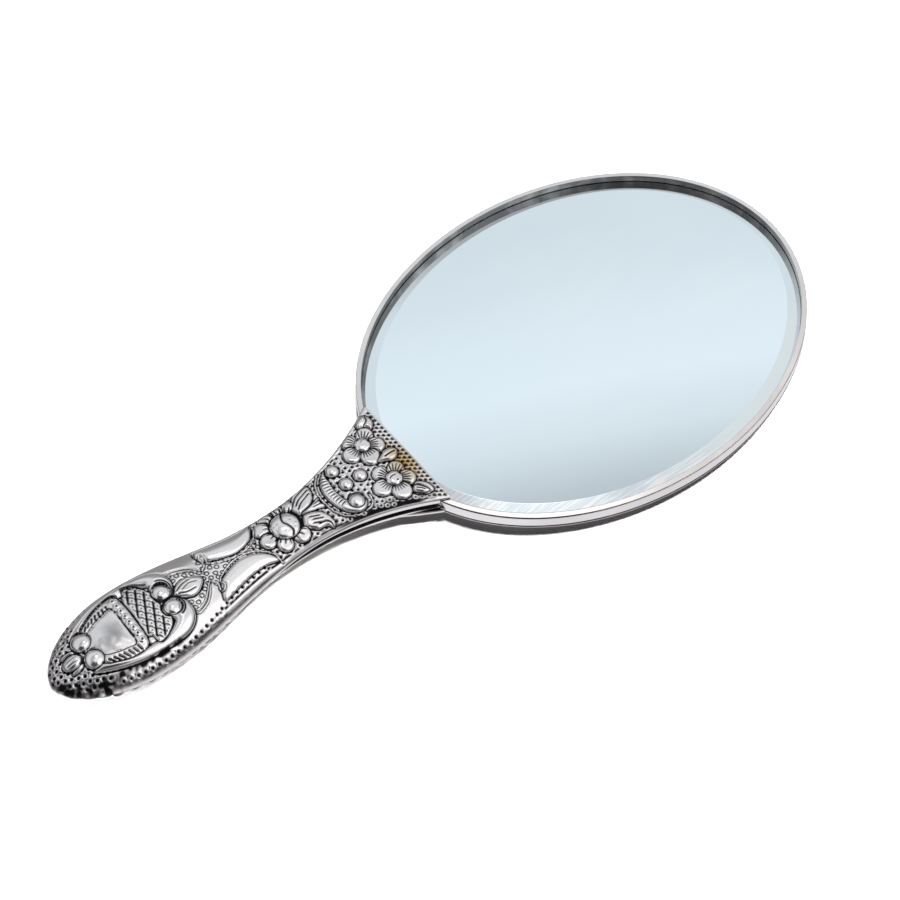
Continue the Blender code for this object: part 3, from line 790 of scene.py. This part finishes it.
def make_piece(name, points, faces, marks):
    """An object of the row from points in mm about the middle of the glass, with its marks as attributes."""
    mesh = bpy.data.meshes.new(name)
    placed = (np.asarray(points, float) + (0, HEAD_Y, 0)) * MM
    mesh.from_pydata(placed.tolist(), [], faces)
    for key, values in marks.items():
        layer = mesh.attributes.new(key, "FLOAT", "POINT")
        layer.data.foreach_set("value", np.asarray(values, np.float32))
    mesh.update()
    mesh.shade_smooth()
    piece = bpy.data.objects.new(name, mesh)
    bpy.context.scene.collection.objects.link(piece)
    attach(piece, "root")
    return piece


def tidy_mesh(mesh, reach=0.004):
    """Merges points that a clamp has put together, and turns the faces outwards."""
    shape = bmesh.new()
    shape.from_mesh(mesh)
    bmesh.ops.remove_doubles(shape, verts=shape.verts, dist=reach * MM)
    bmesh.ops.dissolve_degenerate(shape, edges=shape.edges, dist=reach * MM)
    bmesh.ops.recalc_face_normals(shape, faces=shape.faces)
    shape.to_mesh(mesh)
    shape.free()


def oval_y(x, reach):
    """The head outline's y on the handle's side at x, moved outwards by reach."""
    share = np.clip(1 - (x / (HEAD_ACROSS + reach)) ** 2, 0, 1)
    return -(HEAD_LONG + reach) * np.sqrt(share)


def over_head(x, y, reach):
    """True inside the head's outline moved outwards by reach."""
    return (x / (HEAD_ACROSS + reach)) ** 2 + (y / (HEAD_LONG + reach)) ** 2 < 1


def handle_front(relief):
    """The embossed front of the handle: a plate over the bezel at its flare, with a turned-down edge."""
    round_over = 0.3
    at = stations(FRONT_SPACING, round_over)
    flared = ease(at, TURN_START, TURN_END)
    seam = SEAM + seam_gap(at)
    edge = seam + (TURNED_EDGE - seam) * flared
    top = middle_height(at, BULB_TOP, NECK_TOP, CHORD_TOP)
    plain = arches(at, np.zeros_like(at), edge, top, FRONT_COLUMNS)
    outer, dark = emboss(relief, plain, (0, 0, 1), smoothstep(plain[..., 2] - edge[:, None], 0.15, 0.9))
    past = np.clip((at - (CHORD_AT - round_over)) / round_over, 0, 1)
    outer[..., 2] -= round_over * (1 - np.sqrt(1 - past**2))[:, None]

    depth = RECESS * flared
    inside = arches(at, depth + SHEET, seam, top - SHEET, INNER_COLUMNS)
    inside[0, :, 2] = seam[0]
    loops = []
    for row, inner, step, foot in zip(outer, inside, depth, seam):
        left, right = row[0], row[-1]
        steps = [(0.12, -0.14), (step + 0.14, -0.24), (step + 0.14, foot)]
        low = [(left[0] + a, left[1], b if b > 0 else left[2] + b) for a, b in steps[::-1]]
        high = [(right[0] - a, right[1], b if b > 0 else right[2] + b) for a, b in steps]
        loops.append(np.concatenate([low, row, high, inner[::-1]]))
    loops = np.array(loops)
    clear = LIP_TOP + GAP
    above = over_head(loops[..., 0], loops[..., 1], GAP)
    loops[..., 2] = np.where(above, np.maximum(loops[..., 2], clear), loops[..., 2])
    points, faces = shell_mesh(loops, seam[0])
    # The turned-down edge's step down to the seam and the inside are nearly black, 0.9; the step's top corner
    # 0.25
    oxide_and_shade = np.full(loops.shape[:2], 0.9)
    first, last = 3, 3 + FRONT_COLUMNS
    oxide_and_shade[:, first : last + 1] = dark
    oxide_and_shade[:, first - 1] = oxide_and_shade[:, last + 1] = 0.25
    x, y = points[:, 0], points[:, 1]
    warm = np.exp(-(((x - 2.5) / 7) ** 2) - ((y - CHORD_Y + 3) / 4) ** 2)
    piece = make_piece("handle_front", points, faces, {"oxide_and_shade": [*oxide_and_shade.ravel(), 0.3], "warm": warm})
    tidy_mesh(piece.data)
    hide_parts("handle_front_shell")
    return piece


def handle_back(relief):
    """The embossed back of the handle, up to the head's rim."""
    at = stations(BACK_SPACING)
    top = middle_height(at, BULB_LOW, NECK_LOW, CHORD_LOW)
    inset = np.full_like(at, GAP)
    seam = SEAM - seam_gap(at)
    plain = arches(at, inset, seam, top, BACK_COLUMNS)
    outer, dark = emboss(relief, plain, (0, 0, -1), smoothstep(seam[:, None] - plain[..., 2], 0.1, 0.5))
    x, y, z = plain[..., 0], plain[..., 1], plain[..., 2]
    # Painted shade: the back shell's upper side under the flare and its near side by the tail are darkened
    shade_under_flare = smoothstep(y, -128, -112) * smoothstep(z, 4.7, 5.4)
    painted_tail_shade = smoothstep(-y, 180, 190) * smoothstep(x, 1, 5) * smoothstep(z, 1.5, 4)
    dark = np.maximum(dark, np.maximum(0.8 * shade_under_flare, 0.7 * painted_tail_shade))
    outer[..., 2] = np.maximum(outer[..., 2], 0)
    inner = arches(at, inset + SHEET, seam, top + SHEET, INNER_COLUMNS)
    inner[0, :, 2] = seam[0]
    loops = np.concatenate([outer, inner[:, ::-1]], 1)
    end = oval_y(loops[..., 0], GAP)
    start = -84.0  # from here to the flare's end the rows draw in to the head's outline
    rest = np.clip((at + TAIL_Y - start) / (CHORD_Y - start), 0, 1)[:, None]
    squeezed = start + (end - start) * rest
    loops[..., 1] = np.where(rest > 0, squeezed, loops[..., 1])
    points, faces = shell_mesh(loops, seam[0])
    oxide_and_shade = np.full(loops.shape[:2], 0.9)
    oxide_and_shade[:, : BACK_COLUMNS + 1] = dark
    piece = make_piece("handle_back", points, faces, {"oxide_and_shade": [*oxide_and_shade.ravel(), 0.3]})
    tidy_mesh(piece.data)
    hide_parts("handle_back_shell")
    return piece


# ---- The head ----


def outward(rings):
    """Unit vectors in plan from the middle of the glass."""
    return rings[..., :2] / np.linalg.norm(rings[..., :2], axis=2, keepdims=True)


def oval_rings(profile):
    """Rings round the head from a profile of (inset from the outline, z)."""
    turn = np.linspace(0, 2 * pi, OVAL_STEPS, endpoint=False)
    rings = []
    for inset, z in profile:
        x, y = (HEAD_ACROSS - inset) * np.sin(turn), -(HEAD_LONG - inset) * np.cos(turn)
        rings.append(np.stack([x, y, np.full(OVAL_STEPS, z)], 1))
    return np.array(rings)


def rounded(profile):
    """A closed profile of (inset, z, radius) with its corners rounded."""
    made = []
    points = [np.array(p[:2], float) for p in profile]
    for i, corner in enumerate(points):
        for other, along in ((points[i - 1], 1), (points[(i + 1) % len(points)], -1)):
            reach = min(profile[i][2], 0.86 * np.linalg.norm(other - corner))
            tangent = corner + (other - corner) / np.linalg.norm(other - corner) * reach
            made.append(tangent)
            if along == 1:
                first = tangent
        last = made.pop()
        made.pop()
        for t in np.linspace(0, 1, 7 if profile[i][2] > 0.15 else 3):
            made.append(first * (1 - t) ** 2 + corner * 2 * t * (1 - t) + last * t * t)
    held = []
    for here, after in zip(made, [*made[1:], made[0]]):
        held.append(here)
        if np.linalg.norm(after - here) > 0.3:
            held += [here * (1 - t) + after * t for t in (0.06, 0.94)]
    return held


def swept_ring(name, node, profile):
    """A closed ring round the head that stands for a CAD ring, its inner wall darkened by tarnish and by
    painted shade in the gap by the glass.
    """
    rings = oval_rings(profile)
    inset = np.array([point[0] for point in profile])
    away = outward(rings)
    # The lip's inner edge and inner wall get tarnish and painted shade, eased off towards the right side
    # where the wall reflects lighter
    shade_by_side = smoothstep(away @ np.array([0.9, 0.43]), 0.35, 0.95)
    oxide_and_shade = 0.6 * smoothstep(inset, LIP_WIDTH - 0.35, LIP_WIDTH - 0.1)[:, None] * (1 - 0.8 * shade_by_side)
    height = rings[:, 0, 2]
    joint = (inset < 0.1) * (height > LIP_TOP - LIP_THICKNESS - 0.1)
    joint = joint * (1 - smoothstep(height, LIP_TOP - 0.3, LIP_TOP - 0.1))
    angle = np.arctan2(away[..., 1], away[..., 0])
    oxide_and_shade = np.maximum(oxide_and_shade, joint[:, None] * (0.84 + 0.16 * np.sin(61 * angle) * np.sin(23 * angle)))
    faces = grid_faces(*rings.shape[:2], closed=True)
    piece = make_piece(name, rings.reshape(-1, 3), faces, {"oxide_and_shade": oxide_and_shade.ravel()})
    tidy_mesh(piece.data, 0.0005)
    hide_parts(node)
    return piece


def bezel():
    low, step, skirt = BEZEL_LOW[2], LIP_TOP - LIP_THICKNESS, BAND_WALL + GAP
    profile = [(0, step, 0.06), (0, LIP_TOP - 0.22, 0.2), (LIP_WIDTH, LIP_TOP, 0.2), (LIP_WIDTH, low, 0.06),
               (skirt, low, 0.06), (skirt, step, 0.06)]
    return swept_ring("bezel", "bezel_ring", rounded(profile))


def band():
    low, high, corner = BAND_LOW[2], BAND_HIGH[2], 0.14
    profile = [(0, low, corner), (0, high, corner), (BAND_WALL, high, corner), (BAND_WALL, low, corner)]
    return swept_ring("band", "rim_band", rounded(profile))


def glass():
    """The bevelled glass as a mirror: a flat field, a bevel that falls to the bezel, and a ground edge."""
    edge = HEAD_ACROSS - GLASS_HIGH[0]
    field = edge + BEVEL_WIDTH
    top, drop = GLASS_HIGH[2], 1.2
    profile = [(edge, GLASS_LOW[2]), (edge, top - drop - 0.1), (edge + 0.1, top - drop)]
    profile += [(field - 0.06, top - 0.008), (field + 0.06, top)]
    rings = oval_rings(profile)
    rows, columns = rings.shape[:2]
    faces = grid_faces(rows, columns)
    faces += [list(range(columns))[::-1], list(range((rows - 1) * columns, rows * columns))]
    bevel = np.zeros((rows, columns))
    bevel[:4] = 1
    # Painted highlight: the bevel's white streaks are put on its near side only
    near = smoothstep(outward(rings) @ np.array([0.78, -0.62]), 0.5, 0.9)
    marks = {"bevel": bevel.ravel(), "streak_glints": (bevel * near).ravel()}
    piece = make_piece("glass", rings.reshape(-1, 3), faces, marks)
    piece.data.set_sharp_from_angle(angle=radians(3))
    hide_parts("mirror_glass")
    return piece


def dished(shares, thickness=0.0):
    """The head's back as rings at shares of its reach, flat in the middle: each point's share and place."""
    depth, flat = BACK_HIGH[2] - SHEET - BACK_LOW[2], 0.4
    turn = np.linspace(0, 2 * pi, BACK_STEPS, endpoint=False)
    share, angle = np.meshgrid(shares, turn, indexing="ij")
    rise = np.clip((share - flat) / (1 - flat), 0, None) ** 2.5
    x, y = share * HEAD_ACROSS * np.sin(angle), -share * HEAD_LONG * np.cos(angle)
    return share, np.stack([x, y, depth * rise + thickness], 2)


def head_back(relief):
    """The dished and embossed back of the head."""
    share, outer = dished(np.linspace(0.02, 1, BACK_RINGS))
    x, y = outer[..., 0], outer[..., 1]
    lift = relief.sample(relief.height, x, y)
    dark = relief.sample(relief.oxide_and_shade(), x, y)
    edge_fade = 1 - smoothstep(share, 0.985, 1)
    sunk = 0.5 * (1 - smoothstep(share, 0.6, 0.9))
    outer[..., 2] = np.maximum(outer[..., 2] + sunk - lift * edge_fade, 0)
    inner = dished([1.0, 0.9, 0.8, 0.65, 0.5, 0.3, 0.1], SHEET)[1]
    rings = np.concatenate([outer, inner])
    rows, columns = rings.shape[:2]
    points = np.concatenate([rings.reshape(-1, 3), [(0, 0, outer[0, 0, 2]), (0, 0, SHEET)]])
    faces = grid_faces(rows, columns)
    first, last = len(points) - 2, len(points) - 1
    faces += [[first, (i + 1) % columns, i] for i in range(columns)]
    start = (rows - 1) * columns
    faces += [[last, start + i, start + (i + 1) % columns] for i in range(columns)]
    oxide_and_shade = np.concatenate([dark.ravel(), np.full(inner.shape[0] * columns, 0.8), [0, 0.8]])
    piece = make_piece("head_back", points, faces, {"oxide_and_shade": oxide_and_shade})
    tidy_mesh(piece.data, 0.0005)
    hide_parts("back_plate")
    return piece


# ---- Materials ----


class Nodes:
    """Short calls for building the node tree of a material or of the world."""

    def __init__(self, owner, shader="Principled BSDF", place="Object"):
        owner.use_nodes = True
        self.owner, self.tree = owner, owner.node_tree
        self.shader = self.tree.nodes[shader]
        self.place = self.add("ShaderNodeTexCoord").outputs[place]

    def add(self, kind, **settings):
        """A new node; a setting with a capital is one of its sockets."""
        node = self.tree.nodes.new(kind)
        for key, value in settings.items():
            if key[0].isupper():
                self.plug(value, node.inputs[key.replace("_", " ")])
            else:
                setattr(node, key, value)
        return node

    def plug(self, value, socket):
        """Links an output to a socket, or sets the socket to a number, a vector or a colour."""
        if isinstance(value, bpy.types.NodeSocket):
            self.tree.links.new(value, socket)
        else:
            socket.default_value = (*value, 1) if socket.type == "RGBA" else value

    def noise(self, scale, detail=2.0, rough=0.5, stretch=(1, 1, 1), turn=0.0):
        turned = (0, 0, radians(turn))
        mapping = self.add("ShaderNodeMapping", Vector=self.place, Scale=stretch, Rotation=turned)
        placed = mapping.outputs["Vector"]
        noise = self.add("ShaderNodeTexNoise", Vector=placed, Scale=scale, Detail=detail, Roughness=rough)
        return noise.outputs["Fac"]

    def span(self, value, low, high, to_low=0.0, to_high=1.0, kind="SMOOTHSTEP"):
        node = self.add("ShaderNodeMapRange", interpolation_type=kind, Value=value, From_Min=low,
                        From_Max=high, To_Min=to_low, To_Max=to_high)
        return node.outputs["Result"]

    def math(self, operation, a, b):
        node = self.add("ShaderNodeMath", operation=operation)
        self.plug(a, node.inputs[0])
        self.plug(b, node.inputs[1])
        return node.outputs[0]

    def mix(self, share, a, b):
        node = self.add("ShaderNodeMix", data_type="RGBA", Factor=share)  # its colours are sockets 6, 7 and 2
        self.plug(a, node.inputs[6])
        self.plug(b, node.inputs[7])
        return node.outputs[2]

    def attribute(self, name):
        return self.add("ShaderNodeAttribute", attribute_name=name).outputs["Fac"]

    def bump(self, height, strength, distance):
        node = self.add("ShaderNodeBump", Strength=strength, Distance=distance, Height=height)
        self.plug(node.outputs["Normal"], self.shader.inputs["Normal"])

    def finish(self, **values):
        for key, value in values.items():
            self.plug(value, self.shader.inputs[key.replace("_", " ")])
        return self.owner


def silver(name, tint, tarnished_and_shaded=False):
    """Polished silver: cloudy handling marks, hair scratches and, where tarnished and shaded, black from the
    darkening attribute: tarnish in the hollows and painted shade.
    """
    n = Nodes(bpy.data.materials.new(name))
    cloud = n.span(n.noise(45, 4, 0.6), 0.35, 0.7)
    scratch = n.noise(420, 2, 0.6, (1, 0.12, 1), 24)
    other = n.noise(380, 2, 0.6, (0.15, 1, 1), -31)
    color = n.mix(cloud, tuple(0.87 * part for part in tint), tint)
    rough = n.span(cloud, 0, 1, 0.16, 0.24)
    if tarnished_and_shaded:
        # The attribute holds tarnish and painted shade
        oxide_and_shade = n.math("MULTIPLY", n.attribute("oxide_and_shade"), n.span(n.noise(160, 3), 0.25, 0.6, 0.8, 1.0))
        color = n.mix(n.attribute("warm"), color, (0.56, 0.40, 0.18))
        color = n.mix(n.span(oxide_and_shade, 0.1, 0.8), color, (0.012, 0.011, 0.014))
        rough = n.math("ADD", rough, n.math("MULTIPLY", oxide_and_shade, 0.3))
    n.bump(n.math("ADD", scratch, other), 0.05, 0.0002)
    return n.finish(Base_Color=color, Roughness=rough, Metallic=1.0)


def mirror():
    """The silvered glass: pale and nearly perfect, with faint wiping marks and a finely ground bevel whose
    streaks are painted white, as glints, on its near side only.
    """
    n = Nodes(bpy.data.materials.new("silvered_glass"))
    smear = n.span(n.noise(30, 3, 0.6, (1, 0.4, 1), 35), 0.3, 0.75)
    color = n.mix(smear, (0.83, 0.915, 0.95), (0.86, 0.935, 0.965))
    bevel = n.attribute("bevel")
    # The streaks' white is a painted glint
    streak = n.span(n.noise(820, 2, 0.5, (2.4, 0.12, 1), 10), 0.44, 0.62)
    ground = n.mix(streak, (0.77, 0.86, 0.91), (1.0, 1.0, 1.0))
    color = n.mix(n.attribute("streak_glints"), color, ground)
    rough = n.math("ADD", n.span(smear, 0, 1, 0.008, 0.02), n.math("MULTIPLY", bevel, 0.06))
    return n.finish(Base_Color=color, Roughness=rough, Metallic=1.0)


def dull(name, dark, light, scale, roughness, metallic=0.0):
    """A rough plain material: card, pitch or bare steel."""
    n = Nodes(bpy.data.materials.new(name))
    grain = n.noise(scale, 5, 0.65)
    color = n.mix(n.span(grain, 0.3, 0.7), dark, light)
    n.bump(grain, 0.4, 0.0003)
    rough = n.span(grain, 0.3, 0.7, roughness - 0.08, roughness + 0.08)
    return n.finish(Base_Color=color, Roughness=rough, Metallic=metallic)


def dress(obj, material):
    """Gives an object one material, on the object and not on its mesh."""
    if not obj.material_slots:
        obj.data.materials.append(None)
    for held in obj.material_slots:
        held.link = "OBJECT"
        held.material = material


# ---- Camera, floor and light ----

AZIMUTH, ELEVATION, ROLL = 51.618, 55.365, 0.202
FLOOR_SIZE, FLOOR_DROP = 8, 0.0002  # in metres, the drop to be just clear of the mirror
CAMERA_DISTANCE = 1232 * MM
LENS, SENSOR_WIDTH = 159.1, 36
LOOK_AT = Vector((2.43, HEAD_Y - 54.9, 0)) * MM


def camera():
    """The photograph's viewing angle: from the handle's side, half way up, through a long lens."""
    a, e = radians(AZIMUTH), radians(ELEVATION)
    back = Vector((sin(a) * cos(e), -cos(a) * cos(e), sin(e)))
    data = bpy.data.cameras.new("camera")
    data.lens = LENS
    data.sensor_width = SENSOR_WIDTH
    data.clip_start, data.clip_end = 0.05, 20
    made = bpy.data.objects.new("camera", data)
    bpy.context.scene.collection.objects.link(made)
    turn = (-back).to_track_quat("-Z", "Y").to_matrix().to_4x4() @ Matrix.Rotation(radians(ROLL), 4, "Z")
    made.matrix_world = Matrix.Translation(LOOK_AT + back * CAMERA_DISTANCE) @ turn
    bpy.context.scene.camera = made


def floor():
    bpy.ops.mesh.primitive_plane_add(size=FLOOR_SIZE, location=(0, 0, -FLOOR_DROP))
    made = bpy.context.object
    made.name = "floor"
    n = Nodes(bpy.data.materials.new("floor_white"))
    made.data.materials.append(n.finish(Base_Color=(0.9, 0.9, 0.9), Roughness=0.9))
    made.visible_glossy = False


def area_light(name, toward, distance, size, power, spread=180, target=(0, 0, 0)):
    data = bpy.data.lights.new(name, "AREA")
    data.shape = "DISK"
    data.size = size
    data.energy = power
    data.spread = radians(spread)
    made = bpy.data.objects.new(name, data)
    bpy.context.scene.collection.objects.link(made)
    direction = Vector(toward).normalized()
    made.location = Vector(target) * MM + direction * distance
    made.rotation_mode = "QUATERNION"
    made.rotation_quaternion = (-direction).to_track_quat("-Z", "Y")
    made.visible_glossy = False


# What the silver reflects, as height from -1 to 1, brightness and how blue it is: a pale floor, a dark
# skirting, a pale blue panel and a grey ceiling
ROOM = [(-1.0, 0.90, 0.0), (-0.7, 0.86, 0.0), (-0.45, 0.55, 0.0), (-0.2, 0.12, 0.0), (-0.03, 0.03, 0.0),
        (0.08, 0.05, 0.0), (0.18, 0.30, 0.0), (0.30, 0.40, 0.0), (0.46, 0.68, 0.3), (0.56, 0.80, 0.8),
        (0.775, 0.79, 1.0), (0.791, 0.815, 1.0), (0.796, 0.845, 1.0), (0.801, 0.89, 1.0), (0.807, 0.93, 1.0),
        (0.812, 0.945, 1.0), (0.817, 0.90, 1.0), (0.822, 0.81, 1.0), (0.827, 0.66, 1.0), (0.833, 0.52, 1.0),
        (0.842, 0.42, 0.8), (0.875, 0.36, 0.1), (0.90, 0.42, 0.0), (0.93, 0.64, 0.3), (1.0, 0.80, 0.5)]
PANEL_TILT = (0.095, 0.107, 1.0)
# How much of the room's light the silver may throw on the floor, which lies in the mirror's own shadow there
FLOOR_SHARE = 0.4
BACKDROP = (0.92, 0.92, 0.93)  # what the camera sees behind the floor
# Patches of the room: towards where, the cosines at its outer and inner edge, its brightness
PATCHES = [((0.446, -0.353, 0.823), 0.80, 0.93, 0.05), ((0.60, -0.47, 0.65), 0.905, 0.965, 0.06),
           ((-0.93, 0.35, 0.02), 0.80, 0.93, 0.30), ((0.50, 0.38, 0.78), 0.86, 0.95, 1.5),
           ((0.05, 0.0, 1.0), 0.965, 0.985, 1.0), ((-0.11, 0.52, 0.845), 0.955, 0.972, 0.80),
           ((-0.27, 0.215, 0.94), 0.9877, 0.9955, 1.8)]


def sky():
    """The room, seen only in reflections. The lamps light the floor, and behind it is a pale wall."""
    world = bpy.data.worlds.new("studio")
    bpy.context.scene.world = world
    world.cycles_visibility.diffuse = False
    n = Nodes(world, "Background", "Generated")

    def along(direction):
        dot = n.add("ShaderNodeVectorMath", operation="DOT_PRODUCT")
        n.plug(n.place, dot.inputs[0])
        n.plug(direction, dot.inputs[1])
        return dot.outputs["Value"]

    ramp = n.add("ShaderNodeValToRGB", Fac=n.span(along(PANEL_TILT), -1, 1, kind="LINEAR"))
    stops = ramp.color_ramp.elements
    while len(stops) < len(ROOM):
        stops.new(0.5)
    for stop, (position, value, blue) in zip(stops, ROOM):
        stop.position = (position + 1) / 2
        stop.color = (value * (1 - 0.07 * blue), value * (0.975 + 0.01 * blue), value * (1 + 0.03 * blue), 1)
    color = ramp.outputs["Color"]
    for toward, outer, inner, value in PATCHES:
        patch = n.span(along(Vector(toward).normalized()), outer, inner)
        color = n.mix(patch, color, (value, value, value))
    ray = n.add("ShaderNodeLightPath").outputs
    color = n.mix(ray["Is Camera Ray"], color, BACKDROP)
    strength = n.span(ray["Diffuse Depth"], 0, 1, 1.0, FLOOR_SHARE, "LINEAR")
    n.finish(Color=color, Strength=strength)


# ---- Build ----

camera()
floor()
sky()
area_light("overhead", (-0.06, 0.05, 1.0), 1.6, 0.22, 38)
area_light("window", (0.21, 0.36, 0.91), 1.6, 0.25, 46)
area_light("low", (0.45, -0.75, 0.5), 0.3, 0.05, 0.035, 22, (0, HEAD_Y - 194, 0))
front = front_relief(lambda y: half_width(y - TAIL_Y))
polished = silver("polished_silver", (0.90, 0.89, 0.90))
rolled = silver("rolled_silver", (0.92, 0.89, 0.875), tarnished_and_shaded=True)
embossed = silver("embossed_silver", (0.92, 0.895, 0.895), tarnished_and_shaded=True)
rear = rear_relief(lambda y: half_width(y - TAIL_Y))
disc = disc_relief()
for piece in (handle_front(front), handle_back(rear), head_back(disc)):
    dress(piece, embossed)
dress(bezel(), rolled)
dress(band(), polished)
dress(glass(), mirror())
for name in ("seam_strip_left", "seam_strip_right"):
    dress(nodes[name], polished)
dress(nodes["glass_backing_card"], dull("pasteboard", (0.30, 0.22, 0.14), (0.46, 0.37, 0.25), 900, 0.85))
pitch = dull("pitch_filling", (0.05, 0.04, 0.03), (0.12, 0.09, 0.07), 500, 0.7)
for name in ("head_filler", "handle_filler"):
    dress(nodes[name], pitch)
steel = dull("bare_steel", (0.30, 0.30, 0.31), (0.50, 0.50, 0.51), 700, 0.42, 1.0)
for name in ("tang_rod", "tang_yoke"):
    dress(nodes[name], steel)
bpy.context.scene.view_settings.view_transform = "Standard"
